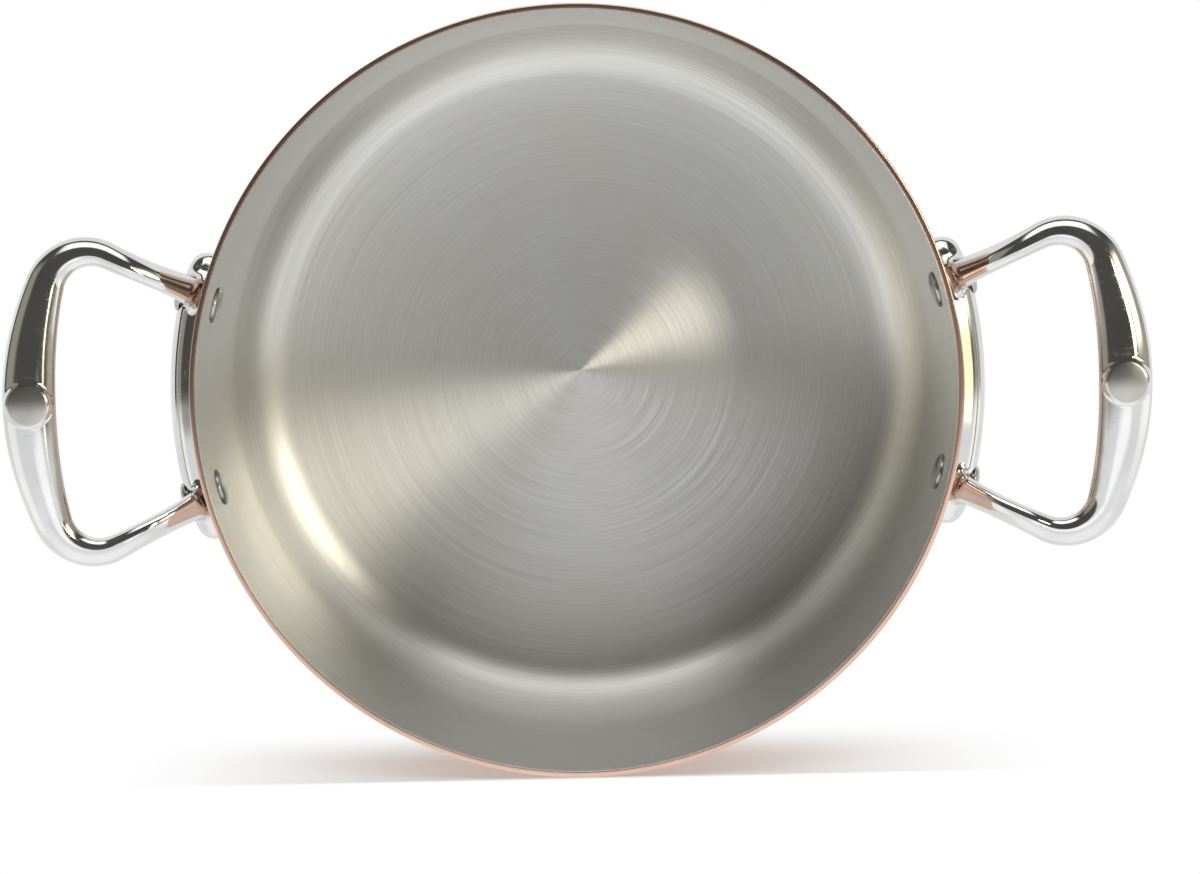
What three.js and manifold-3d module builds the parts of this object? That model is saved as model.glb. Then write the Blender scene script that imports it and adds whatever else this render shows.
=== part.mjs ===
// A two-handled copper stewpan lined with stainless steel, in millimetres.
// It stands on the XY plane with its mouth up +Z, its axis on Z and its handles on -X and +X.

import * as THREE from 'three';
import { mergeVertices } from 'three/addons/utils/BufferGeometryUtils.js';
import Module from 'manifold-3d';

const { clamp, degToRad, lerp, smoothstep } = THREE.MathUtils;

// Body, measured over the copper
const BODY_DIAMETER = 240;
const BODY_HEIGHT = 125;
const COPPER_THICKNESS = 1.78;
const LINING_THICKNESS = 0.2;
const INNER_CORNER_RADIUS = 17.5;
const RIM_ROUNDING = 0.5;

// Clearances: the bond line of the clad wall, and every seat that rivets close up
const BOND_GAP = 0.02;
const FIT_GAP = 0.2;

// Rivets, with the drop measured from the rim to their axis, and their place inside the leg roots
const RIVET_DROP = 25;
const RIVET_INSET = 2.1;
const SHANK_DIAMETER = 6;
const INNER_HEAD_DIAMETER = 11.5;
const INNER_HEAD_HEIGHT = 2.1;
const OUTER_HEAD_DIAMETER = 9;
const OUTER_HEAD_HEIGHT = 2.2;
const SPOT_FACE_DEPTH = 0.6;

// Saddle plate, bent round the wall and centred a little below the rivets
const PLATE_THICKNESS = 8.9;
const PLATE_HEIGHT = 19;
const PLATE_DROP = 3;
const PLATE_OVERHANG = 12.4;
const PLATE_EDGE_POWER = 5;
const PLATE_END_POWER = 8;
const PLATE_OUTLINE_POWER = 4;

// Loop: two splayed legs that rise from just above the rivets and level out into a bowed, crowned grip
const LEG_SPREAD = 63.2;
const LEG_SPLAY = degToRad(25.5);
const LEG_LIFT = 5.2;
const LEG_RISE = degToRad(38);
const RISE_END = 13;
const LEVEL_START = 27.4;
const LEG_WIDTH = 7.3;
const LEG_THICKNESS = 7.4;
const LEG_STANDOFF = 3.2;
const LEG_END_ROUNDING = 2.5;
const ROOT_FLARE = 1.6;
const ROOT_FLARE_REACH = 5;
const LOOP_CORNER_RADIUS = 14;
const GRIP_REACH = 54.6;
const GRIP_BOW_RADIUS = 122;
const GRIP_CROWN_RADIUS = 300;
const GRIP_WIDTH = 16.6;
const GRIP_THICKNESS = 8.4;
const SECTION_POWER = 2.6;

// Round pad cast on the middle of the grip, with a low raised edge
const PAD_DIAMETER = 13.6;
const PAD_HEIGHT = 0.3;
const PAD_EDGE = 0.9;
const PAD_DISH = 0.3;

// Facets
const BODY_SEGMENTS = 72;
const CORNER_STEPS = 4;
const RIM_STEPS = 2;
const RIVET_SEGMENTS = 16;
const DOME_STEPS = 3;
const PAD_SEGMENTS = 24;
const SECTION_POINTS = 12;
const LEG_STEPS = 6;
const BEND_STEPS = 6;
const GRIP_STEPS = 6;
const PLATE_STEPS = 16;
const PLATE_SECTION_POINTS = 16;

// Corners closer than this are one corner
const MERGE_TOLERANCE = 1e-5;

const BODY_RADIUS = BODY_DIAMETER / 2;
const WALL = COPPER_THICKNESS + BOND_GAP + LINING_THICKNESS;
const CORNER_CENTRE = new THREE.Vector2(BODY_RADIUS - WALL - INNER_CORNER_RADIUS, WALL + INNER_CORNER_RADIUS);
const RIVET_Z = BODY_HEIGHT - RIVET_DROP;
const LEG_ROOT_Y = LEG_SPREAD / 2;
const LEG_ROOT_X = Math.sqrt(BODY_RADIUS ** 2 - LEG_ROOT_Y ** 2);
const RIVET_ANGLE = Math.asin((LEG_ROOT_Y - RIVET_INSET) / BODY_RADIUS);
const PLATE_HALF_ANGLE = Math.asin((LEG_ROOT_Y + PLATE_OVERHANG) / BODY_RADIUS);
const SPOT_FACE_RADIUS = BODY_RADIUS + PLATE_THICKNESS - SPOT_FACE_DEPTH;
const PLATE_Z = RIVET_Z - PLATE_DROP;

const wasm = await Module();
wasm.setup();

/** A closed three.js geometry as a solid, with shared corners merged and collapsed triangles dropped. */
function solid(geometry) {
  const bare = geometry.clone();
  bare.deleteAttribute('normal');
  bare.deleteAttribute('uv');
  const merged = mergeVertices(bare, MERGE_TOLERANCE);
  const corners = Array.from(merged.index.array);
  const triangles = [];
  for (let i = 0; i < corners.length; i += 3) {
    const [a, b, c] = corners.slice(i, i + 3);
    if (a !== b && b !== c && c !== a) {
      triangles.push(a, b, c);
    }
  }
  return new wasm.Manifold(new wasm.Mesh({
    numProp: 3,
    vertProperties: new Float32Array(merged.attributes.position.array),
    triVerts: new Uint32Array(triangles),
  }));
}

/** A solid as a three.js geometry. */
function geometryOf(manifold) {
  const mesh = manifold.getMesh();
  const geometry = new THREE.BufferGeometry();
  geometry.setAttribute('position', new THREE.BufferAttribute(new Float32Array(mesh.vertProperties), 3));
  geometry.setIndex(new THREE.BufferAttribute(new Uint32Array(mesh.triVerts), 1));
  return geometry;
}

/** Points of an arc about a centre, from one angle to another, both ends included. */
function arc(centre, radius, from, to, steps) {
  return Array.from({ length: steps + 1 }, (_, i) => {
    const angle = lerp(from, to, i / steps);
    return new THREE.Vector2(centre.x + radius * Math.cos(angle), centre.y + radius * Math.sin(angle));
  });
}

/** A profile of (radius, height) points turned about Z. */
function turned(profile, segments) {
  return new THREE.LatheGeometry(profile, segments).rotateX(Math.PI / 2);
}

/** One face of the clad wall, from the axis over the rounded corner up to the rim. */
function wallFace(offset) {
  const radius = INNER_CORNER_RADIUS + offset;
  return [
    new THREE.Vector2(0, WALL - offset),
    ...arc(CORNER_CENTRE, radius, -Math.PI / 2, 0, CORNER_STEPS),
  ];
}

/** The copper body: its outer face, the rounded rim, then its inner face back to the axis. */
function copperShell() {
  const rimCentre = new THREE.Vector2(BODY_RADIUS - RIM_ROUNDING, BODY_HEIGHT - RIM_ROUNDING);
  const inner = wallFace(LINING_THICKNESS + BOND_GAP);
  return [
    ...wallFace(WALL),
    ...arc(rimCentre, RIM_ROUNDING, 0, Math.PI / 2, RIM_STEPS),
    new THREE.Vector2(inner.at(-1).x, BODY_HEIGHT),
    ...inner.reverse(),
  ];
}

/** The steel lining, level with the copper at the rim. */
function steelLining() {
  const outer = wallFace(LINING_THICKNESS);
  const inner = wallFace(0);
  return [
    ...outer,
    new THREE.Vector2(outer.at(-1).x, BODY_HEIGHT),
    new THREE.Vector2(inner.at(-1).x, BODY_HEIGHT),
    ...inner.reverse(),
  ];
}

/** A geometry made along Y, laid out from the pot's axis along a direction in plan, at the rivets' height. */
function radial(geometry, angle) {
  return geometry.rotateZ(angle - Math.PI / 2).translate(0, 0, RIVET_Z);
}

/** A round rod pointing away from the pot's axis, between two distances from it. */
function radialRod(radius, from, to, angle) {
  const rod = new THREE.CylinderGeometry(radius, radius, to - from, RIVET_SEGMENTS);
  return solid(radial(rod.translate(0, (from + to) / 2, 0), angle));
}

/** The clearance hole for a rivet's shank, from inside the pot to beyond the saddle plate. */
function shankHole(angle) {
  return radialRod(SHANK_DIAMETER / 2 + FIT_GAP, BODY_RADIUS / 2, BODY_RADIUS + 2 * PLATE_THICKNESS, angle);
}

/** Half of a domed head's profile: a spherical cap from its apex to its edge, or back. */
function dome(diameter, height, seat, outward) {
  const half = diameter / 2;
  const radius = (half ** 2 + height ** 2) / (2 * height);
  const reach = Math.asin(half / radius);
  const way = outward ? 1 : -1;
  const points = Array.from({ length: DOME_STEPS + 1 }, (_, i) => {
    const angle = reach * (1 - i / DOME_STEPS);
    return new THREE.Vector2(radius * Math.sin(angle), seat + way * (height - radius + radius * Math.cos(angle)));
  });
  return outward ? points : points.reverse();
}

/** A rivet turned about its own axis, its heads seated on the lining and on the plate's spot face. */
function rivet(angle) {
  const wallApothem = (BODY_RADIUS - WALL) * Math.cos(Math.PI / BODY_SEGMENTS);
  const innerSeat = Math.sqrt(wallApothem ** 2 - (INNER_HEAD_DIAMETER / 2) ** 2) - FIT_GAP;
  const outerSeat = SPOT_FACE_RADIUS + FIT_GAP;
  const profile = [
    ...dome(INNER_HEAD_DIAMETER, INNER_HEAD_HEIGHT, innerSeat, false),
    new THREE.Vector2(SHANK_DIAMETER / 2, innerSeat),
    new THREE.Vector2(SHANK_DIAMETER / 2, outerSeat),
    ...dome(OUTER_HEAD_DIAMETER, OUTER_HEAD_HEIGHT, outerSeat, true),
  ];
  return radial(new THREE.LatheGeometry(profile, RIVET_SEGMENTS), angle);
}

/** Rings of points joined into one closed skin, with a fan over the first ring and the last. */
function skin(rings) {
  const count = rings[0].length;
  const points = rings.flat();
  const index = [];
  for (let ring = 0; ring + 1 < rings.length; ring += 1) {
    for (let i = 0; i < count; i += 1) {
      const a = ring * count + i;
      const b = ring * count + ((i + 1) % count);
      index.push(a, b, a + count, b, b + count, a + count);
    }
  }
  [0, rings.length - 1].forEach((ring) => {
    const hub = points.length;
    const middle = new THREE.Vector3();
    rings[ring].forEach((point) => middle.addScaledVector(point, 1 / count));
    points.push(middle);
    for (let i = 0; i < count; i += 1) {
      const a = ring * count + i;
      const b = ring * count + ((i + 1) % count);
      index.push(hub, ...(ring === 0 ? [b, a] : [a, b]));
    }
  });
  const geometry = new THREE.BufferGeometry().setFromPoints(points);
  geometry.setIndex(index);
  return geometry;
}

/** A point of a superellipse with semi-axes of one, at a given angle. */
function superellipse(angle, power) {
  const bend = (value) => Math.sign(value) * Math.abs(value) ** (2 / power);
  return new THREE.Vector2(bend(Math.cos(angle)), bend(Math.sin(angle)));
}

/** The saddle plate before its seat is cut: a cushion bent round the wall, blunt at its ends. */
function saddlePlate() {
  const rings = [];
  for (let step = 1; step < PLATE_STEPS; step += 1) {
    const along = Math.cos((Math.PI * step) / PLATE_STEPS);
    const depth = PLATE_THICKNESS * (1 - Math.abs(along) ** PLATE_END_POWER) ** (1 / PLATE_END_POWER);
    const half = (PLATE_HEIGHT / 2) * (1 - Math.abs(along) ** PLATE_OUTLINE_POWER) ** (1 / PLATE_OUTLINE_POWER);
    const angle = along * PLATE_HALF_ANGLE;
    rings.push(Array.from({ length: PLATE_SECTION_POINTS }, (_, i) => {
      const edge = superellipse((2 * Math.PI * i) / PLATE_SECTION_POINTS, PLATE_EDGE_POWER);
      const radius = BODY_RADIUS + depth * edge.x;
      return new THREE.Vector3(radius * Math.cos(angle), radius * Math.sin(angle), PLATE_Z + half * edge.y);
    }));
  }
  return skin(rings);
}

/** Half of the loop's centreline in its own plane: a leg, the bend, then the grip's arc to its middle. */
function halfLoop() {
  const root = new THREE.Vector2(0, LEG_ROOT_Y);
  const along = new THREE.Vector2(Math.cos(LEG_SPLAY), Math.sin(LEG_SPLAY));
  const inward = new THREE.Vector2(along.y, -along.x);
  const bow = new THREE.Vector2(GRIP_REACH - GRIP_BOW_RADIUS, 0);
  // The bend's centre lies one bend radius inside the leg's line and inside the grip's arc
  const start = root.clone().addScaledVector(inward, LOOP_CORNER_RADIUS).sub(bow);
  const middle = start.dot(along);
  const reach = GRIP_BOW_RADIUS - LOOP_CORNER_RADIUS;
  const legLength = Math.sqrt(middle ** 2 - start.lengthSq() + reach ** 2) - middle;
  const centre = start.addScaledVector(along, legLength).add(bow);
  const gripAngle = Math.atan2(centre.y - bow.y, centre.x - bow.x);
  const leg = Array.from({ length: LEG_STEPS }, (_, i) => {
    const distance = lerp(LEG_STANDOFF, legLength, (i / LEG_STEPS) ** 2);
    return { point: root.clone().addScaledVector(along, distance), distance };
  });
  const bend = arc(centre, LOOP_CORNER_RADIUS, LEG_SPLAY + Math.PI / 2, gripAngle, BEND_STEPS);
  const grip = arc(bow, GRIP_BOW_RADIUS, gripAngle, 0, GRIP_STEPS);
  const path = [...leg];
  [...bend, ...grip.slice(1)].forEach((point) => {
    const last = path.at(-1);
    path.push({ point, distance: last.distance + last.point.distanceTo(point) });
  });
  return { path, swellStart: legLength / 2 };
}

/** The loop: an oval section with blunt, flared ends that swells from the legs to the middle of the grip. */
function loop() {
  const { path, swellStart } = halfLoop();
  const whole = path.at(-1).distance;
  const rightHalf = path.slice(0, -1).reverse();
  const stations = [
    ...path,
    ...rightHalf.map(({ point, distance }) => ({ point: new THREE.Vector2(point.x, -point.y), distance })),
  ];
  const rings = stations.map(({ point, distance }, i) => {
    const before = stations[Math.max(i - 1, 0)].point;
    const after = stations[Math.min(i + 1, stations.length - 1)].point;
    const tangent = after.clone().sub(before).normalize();
    const swell = smoothstep(distance, swellStart, whole);
    const fromEnd = distance - LEG_STANDOFF;
    const flare = ROOT_FLARE * Math.exp(-fromEnd / ROOT_FLARE_REACH);
    const blunt = Math.sqrt(1 - (1 - Math.min(fromEnd / LEG_END_ROUNDING, 1)) ** 2);
    const halfWidth = blunt * (lerp(LEG_WIDTH, GRIP_WIDTH, swell) / 2 + flare);
    const halfThickness = blunt * (lerp(LEG_THICKNESS, GRIP_THICKNESS, swell) / 2 + flare / 2);
    return Array.from({ length: SECTION_POINTS }, (_, k) => {
      const edge = superellipse((2 * Math.PI * k) / SECTION_POINTS, SECTION_POWER);
      return new THREE.Vector3(
        point.x - tangent.y * halfWidth * edge.x,
        point.y + tangent.x * halfWidth * edge.x,
        halfThickness * edge.y,
      );
    });
  });
  return skin(rings);
}

/** Lifts a point of the flat loop: a steady slope from the root that eases off to level, less a low crown. */
function lift(point) {
  const along = clamp(point[0], 0, LEVEL_START);
  const past = Math.max(along - RISE_END, 0);
  const fall = Math.tan(LEG_RISE) / (LEVEL_START - RISE_END);
  const slope = Math.tan(LEG_RISE) - fall * past;
  const height = Math.tan(LEG_RISE) * along - (fall * past ** 2) / 2;
  const crown = point[1] ** 2 / (2 * GRIP_CROWN_RADIUS);
  point[0] += LEG_ROOT_X;
  point[2] = RIVET_Z + LEG_LIFT + height - crown + point[2] * Math.hypot(1, slope);
}

/** A disc standing on the middle plane of the grip, its top at a height above that plane. */
function gripDisc(diameter, bottom, top) {
  const disc = new THREE.CylinderGeometry(diameter / 2, diameter / 2, top - bottom, PAD_SEGMENTS);
  return solid(disc.rotateX(Math.PI / 2).translate(GRIP_REACH, 0, (bottom + top) / 2));
}

/** The cast handle on +X: plate, loop and pad in one, seated on the wall and cut for its rivets. */
function castHandle() {
  const padTop = GRIP_THICKNESS / 2 + PAD_HEIGHT;
  const dish = gripDisc(PAD_DIAMETER - 2 * PAD_EDGE, padTop - PAD_DISH, padTop + PAD_HEIGHT);
  const grip = solid(loop()).add(gripDisc(PAD_DIAMETER, 0, padTop)).subtract(dish).warp(lift);
  const seat = new THREE.CylinderGeometry(1, 1, 2 * BODY_HEIGHT, BODY_SEGMENTS);
  const seatRadius = BODY_RADIUS + FIT_GAP;
  const wall = solid(seat.scale(seatRadius, 1, seatRadius).rotateX(Math.PI / 2).translate(0, 0, BODY_HEIGHT));
  let handle = solid(saddlePlate()).add(grip).subtract(wall);
  [-RIVET_ANGLE, RIVET_ANGLE].forEach((angle) => {
    const headRoom = OUTER_HEAD_DIAMETER / 2 + FIT_GAP;
    const spotFace = radialRod(headRoom, SPOT_FACE_RADIUS, SPOT_FACE_RADIUS + GRIP_REACH / 4, angle);
    handle = handle.subtract(shankHole(angle)).subtract(spotFace);
  });
  return handle;
}

/** A named mesh with a metal finish of its own. */
function piece(name, geometry, finish) {
  const material = new THREE.MeshStandardMaterial({ ...finish, metalness: 1 });
  const mesh = new THREE.Mesh(geometry, material);
  mesh.name = name;
  return mesh;
}

// Finishes
const COPPER = { color: 0xc98d72, roughness: 0.25 };
const BRUSHED_STEEL = { color: 0xb4b2ab, roughness: 0.35 };
const POLISHED_STEEL = { color: 0xd6d6d3, roughness: 0.08 };
const SATIN_STEEL = { color: 0xc6c5c0, roughness: 0.2 };

/** The two sides that carry a handle, each with its turn about Z. */
const SIDES = [
  { side: 'left', turn: Math.PI },
  { side: 'right', turn: 0 },
];

const rivetTurns = SIDES.flatMap(({ turn }) => [turn - RIVET_ANGLE, turn + RIVET_ANGLE]);

/** A turned wall with the four rivet holes cut through it. */
function pierced(profile) {
  const holes = rivetTurns.map(shankHole);
  return geometryOf(holes.reduce((rest, hole) => rest.subtract(hole), solid(turned(profile, BODY_SEGMENTS))));
}

const pot = new THREE.Group();
pot.add(piece('copper_shell', pierced(copperShell()), COPPER));
pot.add(piece('steel_lining', pierced(steelLining()), BRUSHED_STEEL));

const handleGeometry = geometryOf(castHandle());
SIDES.forEach(({ side, turn }) => {
  const carrier = new THREE.Group();
  carrier.rotation.z = turn;
  carrier.add(piece(`handle_${side}`, handleGeometry, POLISHED_STEEL));
  [-RIVET_ANGLE, RIVET_ANGLE].forEach((angle) => {
    const place = Math.sin(turn + angle) < 0 ? 'front' : 'rear';
    carrier.add(piece(`rivet_${side}_${place}`, rivet(angle), SATIN_STEEL));
  });
  pot.add(carrier);
});

export default pot;
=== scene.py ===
"""The looks of a two-handled copper stewpan with a stainless steel lining.

Shapes are written in millimetres, as on the drawing, and reach the meshes in metres, in the frame
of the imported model: the pot stands on the XY plane, its axis is Z, and its handles are on -X and
+X. Finishes and shadows are written in metres, as the materials read them.
"""

import logging
import math
from collections.abc import Iterator
from dataclasses import dataclass, field
from enum import Enum
from functools import cache

import bpy
import numpy as np
from mathutils import Matrix, Vector

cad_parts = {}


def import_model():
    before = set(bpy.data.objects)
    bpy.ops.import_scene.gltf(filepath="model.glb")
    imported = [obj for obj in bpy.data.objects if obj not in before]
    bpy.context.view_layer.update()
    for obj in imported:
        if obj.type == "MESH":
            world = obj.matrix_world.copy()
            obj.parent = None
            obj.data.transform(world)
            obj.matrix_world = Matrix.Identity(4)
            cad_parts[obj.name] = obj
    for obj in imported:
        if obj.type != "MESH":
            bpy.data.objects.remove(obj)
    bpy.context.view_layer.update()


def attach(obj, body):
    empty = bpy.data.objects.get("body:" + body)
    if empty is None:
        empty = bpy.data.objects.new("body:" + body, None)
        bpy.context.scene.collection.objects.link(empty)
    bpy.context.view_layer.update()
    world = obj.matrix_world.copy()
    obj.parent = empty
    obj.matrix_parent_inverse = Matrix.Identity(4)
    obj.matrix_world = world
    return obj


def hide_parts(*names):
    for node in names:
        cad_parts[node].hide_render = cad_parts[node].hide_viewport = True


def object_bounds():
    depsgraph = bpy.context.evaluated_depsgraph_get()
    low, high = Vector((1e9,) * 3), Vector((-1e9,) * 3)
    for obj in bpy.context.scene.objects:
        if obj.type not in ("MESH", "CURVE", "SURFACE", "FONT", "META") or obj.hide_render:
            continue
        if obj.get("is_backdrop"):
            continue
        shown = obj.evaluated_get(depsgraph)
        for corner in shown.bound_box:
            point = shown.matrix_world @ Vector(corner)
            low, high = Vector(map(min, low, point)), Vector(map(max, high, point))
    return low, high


MM = 0.001
ARC = "arc"  # the attribute with the arc length along a turned profile
SHARP_ANGLE = math.radians(32.0)
TINY = 1e-6  # keeps a divisor away from zero
WHITE = (1.0, 1.0, 1.0)
NOISE_SPAN = (0.3, 0.7)  # nearly all of a noise's values lie between these
LINE_ROUGHNESS = 0.62  # the weight of the finer layers in a turning line
STROKES_PER_PATCH = 40.0  # how much finer a wiping mark is than a cloud of tone
STROKE_STRETCH = (0.035, 1.0, 1.0)  # draws a wiping mark out along its length
STROKE_TURNS = ((0.4, 0.2, 0.9), (1.1, 0.7, -0.6))  # the two ways that wiping marks run
STROKE_SPAN = (0.66, 0.74)  # the values of the noise where a wiping mark begins and is full
FRONT_SPAN = (0.0, 0.1)  # a light fades out where a direction stands square to it
LEAST_AHEAD = 0.05  # the least part towards a light that a direction is divided by

Colour = tuple[float, float, float]
Point = tuple[float, float, float]
Span = tuple[float, float]
Node = bpy.types.Node
Socket = bpy.types.NodeSocket

log = logging.getLogger("stewpan")


class Side(Enum):
    """The two sides that carry a handle, each with its turn about Z."""

    LEFT = math.pi
    RIGHT = 0.0


class Place(Enum):
    """The two rivets of a handle: at the front of the pot, -Y, or at its rear."""

    FRONT = -1
    REAR = 1


class Slot(Enum):
    """The record's material slots."""

    COPPER = "copper"
    LINING = "lining_steel"
    HANDLE = "handle_steel"
    RIVET = "rivet_steel"


class NodeSheet:
    """A node tree with short ways to add nodes to it and to join them."""

    def __init__(self, tree: bpy.types.NodeTree) -> None:
        """Takes the tree to draw in."""
        self.tree = tree

    def feed(self, socket: Socket, value: object) -> None:
        """Joins a socket to another one, or sets its value.

        Args:
            socket: The input to feed.
            value: Another node's output, or the value to set.
        """
        if isinstance(value, bpy.types.NodeSocket):
            self.tree.links.new(value, socket)
        else:
            socket.default_value = value

    def add(
        self, kind: str, inputs: dict[str | int, object] | None = None, **settings: object
    ) -> Node:
        """Adds a node.

        Args:
            kind: The node's type name.
            inputs: Values or sockets for its inputs, by name or number.
            **settings: The node's own properties.

        Returns:
            The new node.
        """
        node = self.tree.nodes.new(kind)
        for key, value in settings.items():
            setattr(node, key, value)
        for key, value in (inputs or {}).items():
            self.feed(node.inputs[key], value)
        return node

    def maths(self, operation: str, *values: object) -> Socket:
        """One arithmetic step on numbers or sockets.

        Args:
            operation: The Math node's operation.
            *values: Its operands.

        Returns:
            The result's socket.
        """
        return self.add("ShaderNodeMath", dict(enumerate(values)), operation=operation).outputs[0]

    def vector(self, operation: str, *values: object) -> Node:
        """One step of vector arithmetic.

        Args:
            operation: The Vector Math node's operation.
            *values: Its operands.

        Returns:
            The node, whose outputs are a vector and a value.
        """
        return self.add("ShaderNodeVectorMath", dict(enumerate(values)), operation=operation)

    def position(self) -> Socket:
        """The point, in the object's own coordinates."""
        return self.add("ShaderNodeTexCoord").outputs["Object"]

    def parts(self, vector: Socket) -> bpy.types.bpy_prop_collection:
        """A vector's parts, by the names X, Y and Z."""
        return self.add("ShaderNodeSeparateXYZ", {0: vector}).outputs

    def flattened(self, vector: Socket) -> Socket:
        """A vector without its part along Z."""
        return self.vector("MULTIPLY", vector, (1.0, 1.0, 0.0)).outputs[0]

    def along(self, way: Socket, length: Socket) -> Socket:
        """A direction times a length."""
        inputs = {0: way, "Scale": length}
        return self.add("ShaderNodeVectorMath", inputs, operation="SCALE").outputs[0]

    def upright(self, height: Socket) -> Socket:
        """A vector of that height along Z."""
        return self.add("ShaderNodeCombineXYZ", {"Z": height}).outputs[0]

    def blended(self, share: Socket, first: Socket, second: Socket) -> Socket:
        """Mixes two shaders by the second one's share."""
        return self.add("ShaderNodeMixShader", {0: share, 1: first, 2: second}).outputs[0]

    def spread(
        self,
        value: Socket,
        low: float,
        high: float,
        start: float = 0.0,
        end: float = 1.0,
        smooth: bool = False,
    ) -> Socket:
        """Maps a range of values to another one, and holds it at both ends.

        Args:
            value: The value to map.
            low: The value that becomes start.
            high: The value that becomes end.
            start: The result at low.
            end: The result at high.
            smooth: Whether the way between them eases in and out.

        Returns:
            The mapped value's socket.
        """
        inputs = {"Value": value, "From Min": low, "From Max": high, "To Min": start, "To Max": end}
        settings = {"interpolation_type": "SMOOTHSTEP" if smooth else "LINEAR", "clamp": True}
        return self.add("ShaderNodeMapRange", inputs, **settings).outputs[0]

    def tint(self, share: object, first: object, second: object, blend: str = "MIX") -> Socket:
        """Mixes two colours.

        Args:
            share: How much of the second colour to take.
            first: A colour or its socket.
            second: A colour or its socket.
            blend: The way they mix.

        Returns:
            The mixed colour's socket.
        """
        inputs = {0: share, 6: opaque(first), 7: opaque(second)}
        return self.add("ShaderNodeMix", inputs, data_type="RGBA", blend_type=blend).outputs[2]

    def noise(self, vector: Socket, scale: object, detail: float, roughness: float = 0.5) -> Socket:
        """Fractal noise.

        Args:
            vector: Where it is read.
            scale: Cells in a unit of length.
            detail: Number of finer layers.
            roughness: Weight of the finer layers.

        Returns:
            The noise's value, about a half.
        """
        inputs = {"Vector": vector, "Scale": scale, "Detail": detail, "Roughness": roughness}
        return self.add("ShaderNodeTexNoise", inputs).outputs[0]

    def group(
        self, tree: bpy.types.NodeTree, inputs: dict[str, object]
    ) -> bpy.types.bpy_prop_collection:
        """Places a shared effect.

        Args:
            tree: The effect's node group.
            inputs: Values or sockets for its inputs.

        Returns:
            The outputs of the group's node.
        """
        return self.add("ShaderNodeGroup", inputs, node_tree=tree).outputs


class GroupSheet(NodeSheet):
    """A shared effect's node group with named inlets and outlets."""

    def __init__(self, name: str) -> None:
        """Starts an empty group of that name."""
        super().__init__(bpy.data.node_groups.new(name, "ShaderNodeTree"))
        self.entry = self.tree.nodes.new("NodeGroupInput")
        self.exit = self.tree.nodes.new("NodeGroupOutput")

    def inlet(self, name: str, kind: str = "NodeSocketFloat") -> Socket:
        """Adds a named input.

        Args:
            name: The input's name.
            kind: Its socket type.

        Returns:
            The socket that brings it into the group.
        """
        self.tree.interface.new_socket(name=name, in_out="INPUT", socket_type=kind)
        return self.entry.outputs[name]

    def outlet(self, name: str, value: Socket, kind: str = "NodeSocketFloat") -> None:
        """Adds a named output.

        Args:
            name: The output's name.
            value: What it puts out.
            kind: Its socket type.
        """
        self.tree.interface.new_socket(name=name, in_out="OUTPUT", socket_type=kind)
        self.tree.links.new(value, self.exit.inputs[name])


def opaque(colour: object) -> object:
    """A colour with full opacity, or the socket that was given."""
    return colour if isinstance(colour, bpy.types.NodeSocket) else (*colour, 1.0)


def blank_sheet(owner: bpy.types.Material | bpy.types.World) -> NodeSheet:
    """Gives a material or a world an empty node tree.

    Args:
        owner: What gets the nodes.

    Returns:
        The sheet to draw them on.
    """
    owner.use_nodes = True
    owner.node_tree.nodes.clear()
    return NodeSheet(owner.node_tree)


@cache
def turning_lines() -> bpy.types.NodeTree:
    """The lines that a tool leaves on a piece that turns about Z.

    Noise is read at the point's direction from the axis times the sweep, and at its arc length
    along the profile times the fineness, so that every line runs round the axis and fades after a
    part of a turn.

    Returns:
        The group, with the outputs Streak, for broad lines, and Hairline, for fine ones.
    """
    sheet = GroupSheet("turning_lines")
    position = sheet.inlet("Position", "NodeSocketVector")
    arc = sheet.inlet("Arc")
    fineness = sheet.inlet("Fineness")
    sweep = sheet.inlet("Sweep")
    turn = sheet.along(sheet.vector("NORMALIZE", sheet.flattened(position)).outputs[0], sweep)
    for name, finer, layers in (("Streak", 1.0, 4.0), ("Hairline", 2.2, 3.0)):
        across = sheet.maths("MULTIPLY", sheet.maths("MULTIPLY", arc, fineness), finer)
        place = sheet.vector("ADD", turn, sheet.upright(across)).outputs[0]
        noise = sheet.noise(place, 1.0, layers, LINE_ROUGHNESS)
        sheet.outlet(name, sheet.spread(noise, *NOISE_SPAN))
    return sheet.tree


@cache
def handling_marks() -> bpy.types.NodeTree:
    """The marks of use and of the last polish on a metal.

    Returns:
        The group, with the outputs Tone, soft clouds, and Scratch, a few thin wiping marks in two
        directions.
    """
    sheet = GroupSheet("handling_marks")
    position = sheet.inlet("Position", "NodeSocketVector")
    patch = sheet.inlet("Patch")
    sheet.outlet("Tone", sheet.spread(sheet.noise(position, patch, 3.0), *NOISE_SPAN))
    fine = sheet.maths("MULTIPLY", patch, STROKES_PER_PATCH)
    strokes = []
    for turn in STROKE_TURNS:
        inputs = {"Vector": position, "Rotation": turn, "Scale": STROKE_STRETCH}
        stretched = sheet.add("ShaderNodeMapping", inputs).outputs[0]
        strokes.append(sheet.spread(sheet.noise(stretched, fine, 1.0), *STROKE_SPAN))
    sheet.outlet("Scratch", sheet.maths("MAXIMUM", *strokes))
    return sheet.tree


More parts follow.
